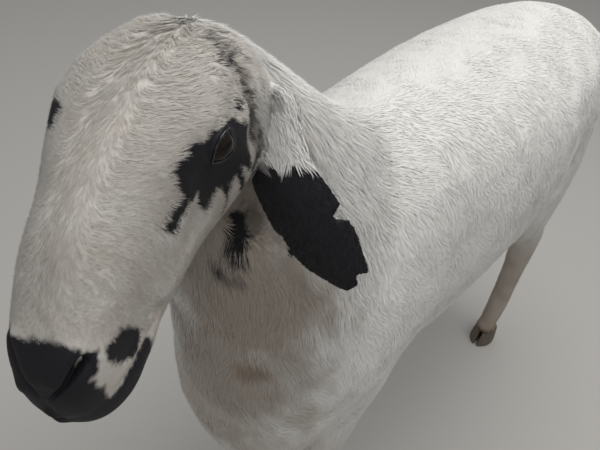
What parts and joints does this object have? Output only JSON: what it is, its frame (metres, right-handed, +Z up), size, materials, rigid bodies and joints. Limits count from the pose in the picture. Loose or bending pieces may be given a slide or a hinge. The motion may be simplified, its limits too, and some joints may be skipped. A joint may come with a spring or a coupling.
{
  "type": "sheep",
  "caption": "Shorn polled sheep standing life size, arched nose lowered and turned to its left, long drooping ears, thin tail.",
  "frame": {"origin": "on the floor under the middle of the animal's outline", "axes": "+Z up, the animal faces -Y along its length, and its own left side is +X"},
  "size_m": [0.3218, 1.206, 0.9503],
  "materials": {
    "fleece": "short shorn wool, dull",
    "face_hair": "short dense hair, dull, with black markings",
    "bare_skin": "thin black skin with sparse hair, satin",
    "eyeball": "wet and clear",
    "horn": "worn horn"
  },
  "bodies": {
    "root": {"trunk": "fleece", "neck": "fleece", "tail": "fleece", "head": "face_hair", "leg_fore_left": "face_hair", "leg_fore_right": "face_hair", "leg_hind_left": "face_hair", "leg_hind_right": "face_hair", "ear_left": "bare_skin", "ear_right": "bare_skin", "eye_left": "eyeball", "eye_right": "eyeball", "claw_fore_left_outer": "horn", "claw_fore_left_inner": "horn", "claw_fore_right_outer": "horn", "claw_fore_right_inner": "horn", "claw_hind_left_outer": "horn", "claw_hind_left_inner": "horn", "claw_hind_right_outer": "horn", "claw_hind_right_inner": "horn", "dewclaw_fore_left_outer": "horn", "dewclaw_fore_left_inner": "horn", "dewclaw_fore_right_outer": "horn", "dewclaw_fore_right_inner": "horn", "dewclaw_hind_left_outer": "horn", "dewclaw_hind_left_inner": "horn", "dewclaw_hind_right_outer": "horn", "dewclaw_hind_right_inner": "horn"}
  },
  "joints": []
}
